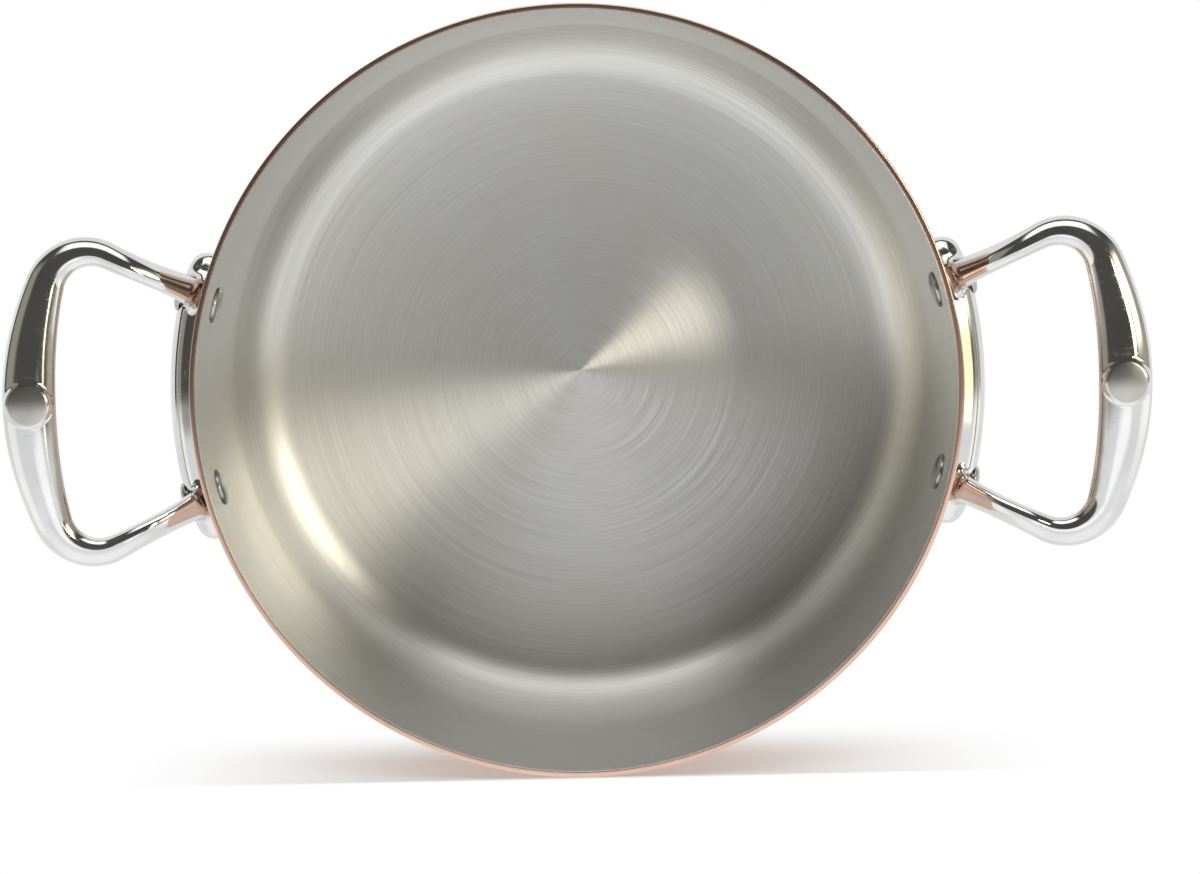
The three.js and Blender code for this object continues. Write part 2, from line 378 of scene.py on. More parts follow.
@dataclass(frozen=True, kw_only=True)
class Finish:
    """A metal finish: its name, its darker and lighter tone, how rough it is, and its marks.

    Patch is the number of clouds of tone on a metre, and scratch is what a wiping mark adds to the
    roughness.
    """

    name: str
    dark: Colour
    light: Colour
    smooth: float
    rough: float
    patch: float
    scratch: float

    def material(self) -> bpy.types.Material:
        """The finish's material, made once.

        Returns:
            The material.
        """
        made = bpy.data.materials.get(self.name)
        if made:
            return made
        material = bpy.data.materials.new(self.name)
        sheet = blank_sheet(material)
        metal = sheet.add("ShaderNodeBsdfPrincipled", {"Metallic": 1.0})
        sheet.add("ShaderNodeOutputMaterial", {"Surface": metal.outputs[0]})
        self.dress(sheet, metal)
        return material

    def dress(self, sheet: NodeSheet, metal: Node) -> None:
        """Feeds the metal's sockets; each finish has its own way.

        Args:
            sheet: The material's nodes.
            metal: Its Principled BSDF.
        """
        raise NotImplementedError

    def marks(self, sheet: NodeSheet, position: Socket) -> bpy.types.bpy_prop_collection:
        """Places the marks of use at this finish's scale."""
        return sheet.group(handling_marks(), {"Position": position, "Patch": self.patch})


@dataclass(frozen=True, kw_only=True)
class TurnedFinish(Finish):
    """Metal brushed round the pot's axis, with a gloss drawn out across its lines.

    The lines show in tone, gloss and relief, and the flanks of their grooves lean. On the base they
    lean outwards: by middle_lean near the axis, by outer_lean past lean_turn and not at all past
    lean_end, both distances from the axis. On the wall they lean upwards by wall_lean, which comes
    in over the heights of wall_start.
    """

    fineness: float
    sweep: float
    contrast: float
    relief: float
    middle_lean: float
    outer_lean: float
    wall_lean: float
    drawn: float
    tarnish: Colour
    tarnish_share: float
    streak_share: float = 0.6
    hairline_share: float = 0.4
    cloud_span: Span = (0.2, 1.0)
    drawn_turn: float = 0.25
    lean_turn: Span = (0.010, 0.090)
    lean_end: Span = (0.085, 0.101)
    wall_start: Span = (0.004, 0.020)

    def dress(self, sheet: NodeSheet, metal: Node) -> None:
        """Feeds the metal's sockets with the lines and the marks.

        Args:
            sheet: The material's nodes.
            metal: Its Principled BSDF.
        """
        position = sheet.position()
        arc = sheet.add("ShaderNodeAttribute", attribute_name=ARC).outputs["Fac"]
        inputs = {"Position": position, "Arc": arc, "Fineness": self.fineness, "Sweep": self.sweep}
        lines = sheet.group(turning_lines(), inputs)
        marks = self.marks(sheet, position)
        broad = sheet.maths("MULTIPLY", lines["Streak"], self.streak_share)
        fine = sheet.maths("MULTIPLY", lines["Hairline"], self.hairline_share)
        mixed = sheet.maths("ADD", broad, fine)
        tone = sheet.spread(mixed, 0.0, 1.0, 0.5 - self.contrast, 0.5 + self.contrast)
        brushed = sheet.tint(tone, self.dark, self.light)
        clouds = sheet.spread(marks["Tone"], *self.cloud_span, 0.0, self.tarnish_share, smooth=True)
        sheet.feed(metal.inputs["Base Color"], sheet.tint(clouds, brushed, self.tarnish))
        gloss = sheet.spread(mixed, 0.0, 1.0, self.rough, self.smooth)
        scuffed = sheet.maths("MULTIPLY_ADD", marks["Scratch"], self.scratch, gloss)
        sheet.feed(metal.inputs["Roughness"], scuffed)
        metal.inputs["Anisotropic"].default_value = self.drawn
        metal.inputs["Anisotropic Rotation"].default_value = self.drawn_turn
        tangent = sheet.add("ShaderNodeTangent", direction_type="RADIAL", axis="Z")
        sheet.feed(metal.inputs["Tangent"], tangent.outputs[0])
        height = sheet.maths("MULTIPLY", mixed, self.relief)
        bump = sheet.add("ShaderNodeBump", {"Strength": 1.0, "Distance": 1.0, "Height": height})
        leaning = sheet.vector("ADD", bump.outputs[0], self.leaning(sheet, position)).outputs[0]
        sheet.feed(metal.inputs["Normal"], sheet.vector("NORMALIZE", leaning).outputs[0])

    def leaning(self, sheet: NodeSheet, position: Socket) -> Socket:
        """What the leaning grooves add to the normal: outwards on the base, upwards on the wall.

        Args:
            sheet: The material's nodes.
            position: The point.

        Returns:
            The vector to add.
        """
        flat = sheet.flattened(position)
        away = sheet.vector("LENGTH", flat).outputs["Value"]
        leans = (math.tan(self.middle_lean), math.tan(self.outer_lean))
        turned = sheet.spread(away, *self.lean_turn, *leans, smooth=True)
        ended = sheet.spread(away, *self.lean_end, 1.0, 0.0, smooth=True)
        way = sheet.vector("NORMALIZE", flat).outputs[0]
        outwards = sheet.along(way, sheet.maths("MULTIPLY", turned, ended))
        tall = sheet.parts(position)["Z"]
        upwards = sheet.spread(tall, *self.wall_start, 0.0, math.tan(self.wall_lean), smooth=True)
        return sheet.vector("ADD", outwards, sheet.upright(upwards)).outputs[0]


@dataclass(frozen=True, kw_only=True)
class PolishedFinish(Finish):
    """Cast metal polished by hand: a mirror with soft waves, clouds and faint wiping marks."""

    wave_scale: float
    wave_relief: float

    def dress(self, sheet: NodeSheet, metal: Node) -> None:
        """Feeds the metal's sockets with the waves and the marks.

        Args:
            sheet: The material's nodes.
            metal: Its Principled BSDF.
        """
        position = sheet.position()
        marks = self.marks(sheet, position)
        tone = marks["Tone"]
        sheet.feed(metal.inputs["Base Color"], sheet.tint(tone, self.dark, self.light))
        gloss = sheet.spread(tone, 0.0, 1.0, self.smooth, self.rough)
        scuffed = sheet.maths("MULTIPLY_ADD", marks["Scratch"], self.scratch, gloss)
        sheet.feed(metal.inputs["Roughness"], scuffed)
        wave = sheet.noise(position, self.wave_scale, 1.0)
        inputs = {"Strength": 1.0, "Distance": self.wave_relief, "Height": wave}
        sheet.feed(metal.inputs["Normal"], sheet.add("ShaderNodeBump", inputs).outputs[0])


@dataclass(frozen=True, kw_only=True)
class GripFinish(PolishedFinish):
    """The polish of a handle whose round pad is left satin and darker.

    The pad lies at pad_reach from the pot's axis. It is satin all over within pad_core, a share of
    its radius, and comes in over pad_fade above the height pad_foot.
    """

    pad_reach: float
    pad_radius: float
    pad_core: float
    pad_foot: float
    pad_fade: float
    satin: float
    pad_tone: Colour

    def dress(self, sheet: NodeSheet, metal: Node) -> None:
        """Feeds the metal's sockets, and dulls and darkens the pad.

        Args:
            sheet: The material's nodes.
            metal: Its Principled BSDF.
        """
        super().dress(sheet, metal)
        polish = metal.inputs["Roughness"].links[0].from_socket
        bright = metal.inputs["Base Color"].links[0].from_socket
        parts = sheet.parts(sheet.position())
        across = sheet.maths("SUBTRACT", sheet.maths("ABSOLUTE", parts["X"]), self.pad_reach)
        along = sheet.maths("MULTIPLY", parts["Y"], parts["Y"])
        away = sheet.maths("SQRT", sheet.maths("MULTIPLY_ADD", across, across, along))
        above = sheet.spread(parts["Z"], self.pad_foot, self.pad_foot + self.pad_fade)
        core = self.pad_core * self.pad_radius
        disc = sheet.spread(away, core, self.pad_radius, 1.0, 0.0, smooth=True)
        pad = sheet.maths("MULTIPLY", disc, above)
        dulled = sheet.maths("MAXIMUM", polish, sheet.maths("MULTIPLY", pad, self.satin))
        sheet.feed(metal.inputs["Roughness"], dulled)
        sheet.feed(metal.inputs["Base Color"], sheet.tint(pad, bright, self.pad_tone))


LINING_FINISH = TurnedFinish(
    name="brushed_lining_steel",
    dark=(0.58, 0.575, 0.55),
    light=(0.87, 0.865, 0.84),
    smooth=0.28,
    rough=0.37,
    patch=22.0,
    scratch=0.02,
    fineness=2600.0,
    sweep=1.0,
    contrast=0.5,
    relief=0.000006,
    middle_lean=math.radians(5.0),
    outer_lean=math.radians(3.2),
    wall_lean=math.radians(9.0),
    drawn=0.9,
    tarnish=(0.68, 0.65, 0.59),
    tarnish_share=0.25,
)
COPPER_FINISH = TurnedFinish(
    name="brushed_copper",
    dark=(0.62, 0.41, 0.325),
    light=(0.79, 0.57, 0.465),
    smooth=0.11,
    rough=0.19,
    patch=22.0,
    scratch=0.02,
    fineness=1300.0,
    sweep=1.6,
    contrast=0.2,
    relief=0.000002,
    middle_lean=0.0,
    outer_lean=0.0,
    wall_lean=0.0,
    drawn=0.7,
    tarnish=(0.52, 0.29, 0.21),
    tarnish_share=0.3,
)
HANDLE_FINISH = GripFinish(
    name="polished_cast_steel",
    dark=(0.64, 0.64, 0.63),
    light=(0.73, 0.73, 0.72),
    smooth=0.05,
    rough=0.11,
    patch=70.0,
    scratch=0.12,
    wave_scale=55.0,
    wave_relief=0.00012,
    pad_reach=0.1703,
    pad_radius=0.0070,
    pad_core=0.85,
    pad_foot=0.1225,
    pad_fade=0.001,
    satin=0.24,
    pad_tone=(0.50, 0.49, 0.46),
)
RIVET_FINISH = PolishedFinish(
    name="satin_rivet_steel",
    dark=(0.42, 0.41, 0.38),
    light=(0.54, 0.53, 0.50),
    smooth=0.2,
    rough=0.32,
    patch=70.0,
    scratch=0.1,
    wave_scale=260.0,
    wave_relief=0.00006,
)


@dataclass
class Skin:
    """A closed surface in millimetres: its points, its faces, and each point's arc and normal."""

    points: np.ndarray
    quads: np.ndarray
    triangles: np.ndarray
    arc: np.ndarray
    normals: np.ndarray | None = None

    def moved(self, matrix: Matrix) -> "Skin":
        """The same surface, turned and then shifted.

        Args:
            matrix: A rigid 4 x 4 matrix, in millimetres.

        Returns:
            The moved surface.
        """
        turn = np.array(matrix.to_3x3())
        normals = None if self.normals is None else self.normals @ turn.T
        points = self.points @ turn.T + np.array(matrix.translation)
        return Skin(points, self.quads, self.triangles, self.arc, normals)

    def mesh(self, name: str) -> bpy.types.Mesh:
        """Writes the surface to a mesh, in metres.

        Args:
            name: The mesh's name.

        Returns:
            The mesh, smooth but for its sharp edges.
        """
        mesh = bpy.data.meshes.new(name)
        corners = np.concatenate([self.quads.ravel(), self.triangles.ravel()]).astype(np.int32)
        sizes = np.repeat([4, 3], [len(self.quads), len(self.triangles)])
        starts = (np.cumsum(sizes) - sizes).astype(np.int32)
        mesh.vertices.add(len(self.points))
        mesh.vertices.foreach_set("co", (self.points * MM).astype(np.float32).ravel())
        mesh.loops.add(len(corners))
        mesh.loops.foreach_set("vertex_index", corners)
        mesh.polygons.add(len(sizes))
        mesh.polygons.foreach_set("loop_start", starts)
        mesh.polygons.foreach_set("use_smooth", np.ones(len(sizes), dtype=bool))
        carried = mesh.attributes.new(ARC, "FLOAT", "POINT")
        carried.data.foreach_set("value", (self.arc * MM).astype(np.float32))
        mesh.update(calc_edges=True)
        mesh.validate()
        if self.normals is None:
            mesh.set_sharp_from_angle(angle=SHARP_ANGLE)
        else:
            mesh.normals_split_custom_set_from_vertices(self.normals.astype(np.float32))
        return mesh

    def piece(self, name: str, finish: Finish) -> bpy.types.Object:
        """Makes an object of the surface.

        Args:
            name: The piece's name.
            finish: What it is finished with.

        Returns:
            The object, at the origin.
        """
        made = bpy.data.objects.new(name, self.mesh(name))
        made.data.materials.append(finish.material())
        bpy.context.scene.collection.objects.link(made)
        return made


def ways(angle: np.ndarray) -> np.ndarray:
    """The directions (cos a, sin a) of angles, one in a row."""
    return np.stack([np.cos(angle), np.sin(angle)], axis=1)


def arc_points(centre: Span, radius: float, start: float, end: float, steps: int) -> np.ndarray:
    """Points of an arc, centre + radius (cos a, sin a), with both ends.

    Args:
        centre: The arc's centre.
        radius: Its radius.
        start: The first angle.
        end: The last angle.
        steps: The number of chords.

    Returns:
        The points, one in a row.
    """
    return np.array(centre) + radius * ways(np.linspace(start, end, steps + 1))


def refined(profile: np.ndarray, step: float) -> np.ndarray:
    """A profile with more points on its long straight runs, evenly spread by arc length.

    Args:
        profile: The profile's points.
        step: The longest run to leave.

    Returns:
        The profile with all its own points and those between them.
    """
    runs = np.linalg.norm(np.diff(profile, axis=0), axis=1)
    counts = np.maximum(np.ceil(runs / step), 1).astype(int)
    owner = np.repeat(np.arange(len(runs)), counts)
    rank = np.arange(len(owner)) - np.repeat(np.cumsum(counts) - counts, counts)
    share = (rank / counts[owner])[:, None]
    between = profile[owner] * (1 - share) + profile[owner + 1] * share
    return np.concatenate([between, profile[-1:]])


def revolved(profile: np.ndarray, segments: int) -> Skin:
    """A profile turned about Z: its point (r, z) at angle a goes to (r cos a, r sin a, z).

    Args:
        profile: Points (r, z), outside first; the first and the last lie on the axis, as poles.
        segments: The number of steps in a turn.

    Returns:
        The closed surface, with the arc length along the profile.
    """
    angle = np.arange(segments) * (2 * math.pi / segments)
    ring = profile[1:-1]
    radius = ring[:, :1]
    height = np.broadcast_to(ring[:, 1:], (len(ring), segments))
    rings = np.stack([radius * np.cos(angle), radius * np.sin(angle), height], axis=-1)
    rings = rings.reshape(-1, 3)
    poles = np.array([[0.0, 0.0, profile[0, 1]], [0.0, 0.0, profile[-1, 1]]])
    number = np.arange(len(rings)).reshape(len(ring), segments)
    after = np.roll(number, -1, axis=1)
    quads = np.stack([number[:-1], after[:-1], after[1:], number[1:]], axis=-1).reshape(-1, 4)
    first = np.stack([np.full(segments, len(rings)), after[0], number[0]], axis=-1)
    last = np.stack([np.full(segments, len(rings) + 1), number[-1], after[-1]], axis=-1)
    length = np.concatenate([[0.0], np.cumsum(np.linalg.norm(np.diff(profile, axis=0), axis=1))])
    arc = np.concatenate([np.repeat(length[1:-1], segments), length[[0, -1]]])
    return Skin(np.concatenate([rings, poles]), quads, np.concatenate([first, last]), arc)


def adopt(piece: bpy.types.Object, node: str) -> None:
    """Puts a piece in the place of its CAD node.

    Args:
        piece: The dressed piece.
        node: The node that it stands for.
    """
    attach(piece, "root")
    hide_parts(node)
    mesh = piece.data
    log.info("%s: %d points, %d faces", piece.name, len(mesh.vertices), len(mesh.polygons))


@dataclass
class Rivets:
    """Four rivets, each turned about its own axis, which points straight out from the pot's."""

    height: float = 100.0
    angle: float = math.asin(29.5 / 120.0)
    shank_diameter: float = 6.0
    hole_diameter: float = 6.4
    inner_diameter: float = 11.5
    inner_height: float = 2.1
    inner_seat: float = 117.8
    outer_diameter: float = 9.0
    outer_height: float = 2.2
    outer_seat: float = 128.35
    edge: float = 0.35
    dome_power: float = 0.9
    hole_span: Span = (90.0, 140.0)
    segments: int = 72
    dome_steps: int = 18

    def place(self, turn: float) -> Matrix:
        """Lays what is made along Z out along a direction in plan, at the rivets' height.

        Args:
            turn: The direction, as an angle from +X.

        Returns:
            The matrix.
        """
        lying = Matrix.Rotation(math.pi / 2, 4, "Y")
        return Matrix.Translation((0.0, 0.0, self.height)) @ Matrix.Rotation(turn, 4, "Z") @ lying

    def seats(self) -> Iterator[tuple[Side, float]]:
        """Each rivet's side and its direction in plan, as an angle from +X."""
        return ((side, side.value + place.value * self.angle) for side in Side for place in Place)

    def dome(self, diameter: float, height: float, seat: float, way: float) -> np.ndarray:
        """Half of a head's profile, from apex to edge: a low ellipse over a short straight edge.

        Args:
            diameter: The head's diameter.
            height: The head's height.
            seat: Where it sits along the rivet's axis.
            way: 1 for a head that points outwards, -1 for one that points inwards.

        Returns:
            Points (radius, distance along the axis).
        """
        angle = np.linspace(math.pi / 2, 0.0, self.dome_steps + 1)
        radius = diameter / 2 * np.cos(angle)
        rise = self.edge + (height - self.edge) * np.sin(angle) ** self.dome_power
        arch = np.stack([radius, seat + way * rise], axis=1)
        return np.concatenate([arch, [[diameter / 2, seat]]])

    def skin(self) -> Skin:
        """One rivet along Z: its inner head, its shank and its outer head."""
        inner = self.dome(self.inner_diameter, self.inner_height, self.inner_seat, -1.0)
        outer = self.dome(self.outer_diameter, self.outer_height, self.outer_seat, 1.0)
        half = self.shank_diameter / 2
        shank = np.array([[half, self.inner_seat], [half, self.outer_seat]])
        return revolved(np.concatenate([inner, shank, outer[::-1]]), self.segments)

    def holes(self) -> bpy.types.Object:
        """The four holes for the shanks, as one cutter that is removed after use.

        Returns:
            The cutter.
        """
        half = self.hole_diameter / 2
        low, high = self.hole_span
        profile = np.array([[0.0, low], [half, low], [half, high], [0.0, high]])
        rod = revolved(profile, self.segments)
        rods = [rod.moved(self.place(turn)) for _, turn in self.seats()]
        first = np.arange(len(rods)) * len(rod.points)
        cutter = Skin(
            np.concatenate([each.points for each in rods]),
            (rod.quads + first[:, None, None]).reshape(-1, 4),
            (rod.triangles + first[:, None, None]).reshape(-1, 3),
            np.tile(rod.arc, len(rods)),
        )
        return cutter.piece("rivet_holes", RIVET_FINISH)

    def build(self) -> None:
        """Makes the four rivets."""
        skin = self.skin()
        for side, turn in self.seats():
            where = Place.FRONT if math.sin(turn) < 0 else Place.REAR
            node = f"rivet_{side.name.lower()}_{where.name.lower()}"
            piece = skin.moved(self.place(turn)).piece(f"{node}_steel", RIVET_FINISH)
            adopt(piece, node)


@dataclass
class CladBody:
    """The pot's wall: a copper shell and the thin steel lining bonded into it, turned about Z."""

    radius: float = 120.0
    height: float = 125.0
    copper: float = 1.78
    bond: float = 0.02
    lining: float = 0.2
    inner_corner: float = 17.5
    rim_rounding: float = 0.5
    lip_rounding: float = 0.15
    first_ring: float = 1.0
    segments: int = 360
    corner_steps: int = 20
    rim_steps: int = 6
    step: float = 3.4

    @property
    def wall(self) -> float:
        """The whole thickness of the wall."""
        return self.copper + self.bond + self.lining

    def face(self, offset: float, top: float) -> np.ndarray:
        """One face of the wall, from the axis over the rounded corner up to a height.

        Args:
            offset: Its distance from the innermost face.
            top: Where it ends.

        Returns:
            Points (radius, height).
        """
        reach = self.radius - self.wall - self.inner_corner
        rise = self.wall + self.inner_corner
        bend = self.inner_corner + offset
        corner = arc_points((reach, rise), bend, -math.pi / 2, 0.0, self.corner_steps)
        level = self.wall - offset
        foot = np.array([[0.0, level], [self.first_ring, level]])
        head = np.array([[corner[-1, 0], top]])
        return np.concatenate([foot, corner, head])

    def shell(self) -> np.ndarray:
        """The copper's profile: outer face, rounded rim, inner face back to the axis."""
        rim = self.rim_rounding
        lip = self.lip_rounding
        outer = self.face(self.wall, self.height - rim)
        inner = self.face(self.lining + self.bond, self.height - lip)
        crown_hub = (self.radius - rim, self.height - rim)
        crown = arc_points(crown_hub, rim, 0.0, math.pi / 2, self.rim_steps)
        bead_hub = (inner[-1, 0] + lip, self.height - lip)
        bead = arc_points(bead_hub, lip, math.pi / 2, math.pi, self.rim_steps)
        return np.concatenate([outer, crown[1:], bead, inner[-2::-1]])

    def liner(self) -> np.ndarray:
        """The lining's profile: the face on the copper, its edge at the rim and its inner face."""
        outer = self.face(self.lining, self.height)
        inner = self.face(0.0, self.height)
        return np.concatenate([outer, inner[::-1]])

    def pierced(
        self, profile: np.ndarray, name: str, finish: Finish, rivets: Rivets
    ) -> bpy.types.Object:
        """Turns a profile and drills the rivet holes through it.

        Args:
            profile: The piece's profile.
            name: The piece's name.
            finish: Its finish.
            rivets: The rivets that go through it.

        Returns:
            The piece.
        """
        piece = revolved(refined(profile, self.step), self.segments).piece(name, finish)
        cutter = rivets.holes()
        drill = piece.modifiers.new("drill", "BOOLEAN")
        drill.operation = "DIFFERENCE"
        drill.solver = "EXACT"
        drill.object = cutter
        bpy.context.view_layer.update()
        drilled = piece.evaluated_get(bpy.context.evaluated_depsgraph_get())
        mesh = bpy.data.meshes.new_from_object(drilled)
        mesh.name = name
        piece.modifiers.clear()
        piece.data = mesh
        mesh.materials.clear()
        mesh.materials.append(finish.material())
        mesh.polygons.foreach_set("material_index", np.zeros(len(mesh.polygons), dtype=np.int32))
        mesh.set_sharp_from_angle(angle=SHARP_ANGLE)
        bpy.data.objects.remove(cutter)
        return piece

    def build(self, rivets: Rivets) -> None:
        """Makes the shell and the lining.

        Args:
            rivets: The rivets that go through them.
        """
        shell = self.pierced(self.shell(), "copper_body", COPPER_FINISH, rivets)
        adopt(shell, "copper_shell")
        lining = self.pierced(self.liner(), "brushed_lining", LINING_FINISH, rivets)
        adopt(lining, "steel_lining")


def joined(first: np.ndarray, second: np.ndarray, rounding: float) -> np.ndarray:
    """Two forms with a cast fillet: the lesser of a and b, less max(k - |a - b|, 0)^2 / 4k.

    Args:
        first: Distances to the first form.
        second: Distances to the second form.
        rounding: How near, k, the two come before they run into each other.

    Returns:
        Distances to both together.
    """
    near = np.maximum(rounding - np.abs(first - second), 0.0)
    return np.minimum(first, second) - near**2 / (4 * rounding)


def shared(first: np.ndarray, second: np.ndarray, rounding: float) -> np.ndarray:
    """What two forms share, with its edge eased by that rounding."""
    return -joined(-first, -second, rounding)


def eased(value: np.ndarray, low: float, high: float) -> np.ndarray:
    """An even rise from 0 to 1 between two values: 3 t^2 - 2 t^3."""
    share = np.clip((value - low) / (high - low), 0.0, 1.0)
    return share * share * (3 - 2 * share)


@dataclass
class CastHandle:
    """A cast loop handle: a saddle plate bent round the wall, two splayed legs, a grip and a pad.

    Its surface is where a field of distances is zero. The forms run into each other with cast
    fillets, which no single grid of two parameters follows, so the surface is netted from the
    field and drawn onto it. The net's planes run along X from net_x's first value to its last and
    are closer from its second on; along Y they are closer up to net_y's first value and go on from
    its second to its last; along Z they go from net_z's first value to its second by its third.
    """

    rivets: Rivets
    wall_radius: float = 120.0
    seat_gap: float = 0.05
    plate_thickness: float = 8.9
    plate_height: float = 19.0
    plate_drop: float = 3.0
    plate_draft: float = math.tan(math.radians(11.0))
    plate_half_angle: float = math.asin(44.4 / 120.0)
    plate_edge: float = 4.4
    plate_end_power: float = 8.0
    plate_end_least: float = 0.02
    plate_outline_power: float = 4.0
    spot_depth: float = 0.6
    spot_room: float = 0.25
    spot_edge: float = 0.5
    bore_edge: float = 0.4
    seat_edge: float = 0.5
    root_y: float = 31.6
    splay: float = math.radians(25.5)
    lift: float = 4.75
    leg_rise: float = math.radians(38.0)
    rise_end: float = 13.0
    level_start: float = 27.4
    crown: float = 300.0
    leg_width: float = 7.3
    leg_thickness: float = 7.4
    standoff: float = 3.2
    end_rounding: float = 2.5
    flare: float = 1.6
    flare_reach: float = 5.0
    bend: float = 14.0
    reach: float = 54.55
    bow: float = 122.0
    grip_width: float = 16.6
    grip_thickness: float = 8.4
    section_power: float = 2.15
    pad_diameter: float = 14.4
    pad_height: float = 0.7
    pad_dome: float = 52.0
    pad_rounding: float = 1.5
    pad_fillet: float = 0.9
    pad_foot_rounding: float = 0.3
    fillet: float = 3.0
    coarse: float = 0.62
    fine: float = 0.36
    net_x: Point = (107.7, 161.0, 180.2)
    net_y: Point = (8.0, 8.4, 53.0)
    net_z: Point = (86.1, 127.6, 0.5)
    evenings: tuple[float, ...] = (0.5, 0.5, 0.5, 0.4, 0.0, 0.0)
    probe: float = 0.04
    least_slope: float = 0.2

    def __post_init__(self) -> None:
        """Works out where the leg ends, the bend's centre and where the grip begins."""
        self.along = np.array([math.cos(self.splay), math.sin(self.splay)])
        inward = np.array([self.along[1], -self.along[0]])
        self.root = np.array([0.0, self.root_y])
        self.bow_centre = np.array([self.reach - self.bow, 0.0])
        start = self.root + inward * self.bend - self.bow_centre
        middle = start @ self.along
        self.leg = math.sqrt(middle**2 - start @ start + (self.bow - self.bend) ** 2) - middle
        self.bend_centre = start + self.along * self.leg + self.bow_centre
        hub = self.bend_centre - self.bow_centre
        self.bend_start = self.splay + math.pi / 2
        self.grip_start = math.atan2(hub[1], hub[0])
        self.bend_length = self.bend * (self.bend_start - self.grip_start)
        self.whole = self.leg + self.bend_length + self.bow * self.grip_start

    def plate(self, x: np.ndarray, y: np.ndarray, z: np.ndarray) -> np.ndarray:
        """Distances to the saddle plate.

        Its outline on the wall is (s/S)^n + (h/H)^n = 1, with s along the wall and h up it, its
        depth falls off to its ends as (1 - |s/S|^m)^(1/m), and its edge is rounded. H draws in with
        the distance from the wall.

        Args:
            x: Across the pot, from its axis.
            y: From the handle's middle plane, at least 0.
            z: Above the floor.

        Returns:
            The distances.
        """
        power = self.plate_outline_power
        radius = np.hypot(x, y)
        turn = np.arctan2(y, x) / self.plate_half_angle
        length = self.plate_half_angle * (self.wall_radius + self.plate_thickness / 2)
        from_wall = np.clip(radius - self.wall_radius, 0.0, self.plate_thickness)
        half = self.plate_height / 2 - self.plate_draft * from_wall
        up = np.abs(z - self.rivets.height + self.plate_drop) / half
        size = np.maximum((turn**power + up**power) ** (1 / power), TINY)
        slope = np.hypot((turn / size) ** (power - 1) / length, (up / size) ** (power - 1) / half)
        outline = (size - 1) / slope + self.plate_edge
        thinning = np.clip(1 - turn**self.plate_end_power, self.plate_end_least, 1.0)
        ends = thinning ** (1 / self.plate_end_power)
        depth = radius - self.wall_radius - self.plate_thickness * ends + self.plate_edge
        outside = np.hypot(np.maximum(outline, 0.0), np.maximum(depth, 0.0))
        return outside + np.minimum(np.maximum(outline, depth), 0.0) - self.plate_edge

    def loop(self, across: np.ndarray, side: np.ndarray, up: np.ndarray) -> np.ndarray:
        """Distances to the loop: an oval section carried along a leg, a bend and the grip's arc.

        The section is |u/a|^p + |w/b|^p = 1, with u in the loop's plane and w across it. Its half
        axes a and b swell evenly from the legs to the middle of the grip and flare to the root.

        Args:
            across: Along the loop's own plane, away from the pot.
            side: From the handle's middle plane, at least 0.
            up: Above the loop's plane.

        Returns:
            The distances.
        """
        point = np.stack([across, side], axis=1)
        run = (point - self.root) @ self.along
        leg_run = np.minimum(run, self.leg)
        off_leg = np.linalg.norm(point - self.root - leg_run[:, None] * self.along, axis=1)
        from_bend = point - self.bend_centre
        turn = np.arctan2(from_bend[:, 1], from_bend[:, 0])
        bend_turn = np.clip(turn, self.grip_start, self.bend_start)
        off_bend = np.linalg.norm(from_bend - self.bend * ways(bend_turn), axis=1)
        from_bow = point - self.bow_centre
        swing = np.minimum(np.arctan2(from_bow[:, 1], from_bow[:, 0]), self.grip_start)
        off_grip = np.linalg.norm(from_bow - self.bow * ways(swing), axis=1)
        offs = [off_leg, off_bend, off_grip]
        nearest = np.argmin(offs, axis=0)
        off = np.choose(nearest, offs)
        bend_run = self.leg + self.bend * (self.bend_start - bend_turn)
        grip_run = self.leg + self.bend_length + self.bow * (self.grip_start - swing)
        distance = np.choose(nearest, [leg_run, bend_run, grip_run])
        swell = eased(distance, self.leg / 2, self.whole)
        flare = self.flare * np.exp(-np.maximum(distance - self.standoff, 0.0) / self.flare_reach)
        width = self.leg_width + (self.grip_width - self.leg_width) * swell
        depth = self.leg_thickness + (self.grip_thickness - self.leg_thickness) * swell
        half_width, half_depth = width / 2 + flare, depth / 2 + flare / 2
        power = self.section_power
        size = ((off / half_width) ** power + (np.abs(up) / half_depth) ** power) ** (1 / power)
        section = np.hypot(off, up) * (1 - 1 / np.maximum(size, TINY))
        return shared(section, self.standoff - run, self.end_rounding)

    def pad(self, across: np.ndarray, side: np.ndarray, up: np.ndarray) -> np.ndarray:
        """Distances to the round pad, a low dome, h - r^2 / 2R high, with an eased edge.

        Args:
            across: Along the loop's own plane, away from the pot.
            side: From the handle's middle plane.
            up: Above the loop's plane.

        Returns:
            The distances.
        """
        radius = np.hypot(across - self.reach, side)
        top = self.grip_thickness / 2 + self.pad_height - radius**2 / (2 * self.pad_dome)
        dome = shared(radius - self.pad_diameter / 2, up - top, self.pad_rounding)
        return shared(dome, -up, self.pad_foot_rounding)

    def climb(self, across: np.ndarray) -> tuple[np.ndarray, np.ndarray]:
        """How high the loop has climbed above its roots, and how steeply it climbs there.

        At a distance a from the roots the height is t a - t max(a - e, 0)^2 / 2 (l - e): it climbs
        straight by the slope t up to e, and then along a parabola to its level part at l.

        Args:
            across: The distance out from the roots.

        Returns:
            The heights and the slopes.
        """
        steepest = math.tan(self.leg_rise)
        out = np.clip(across, 0.0, self.level_start)
        past = np.maximum(out - self.rise_end, 0.0)
        fall = steepest / (self.level_start - self.rise_end)
        return steepest * out - fall * past**2 / 2, steepest - fall * past

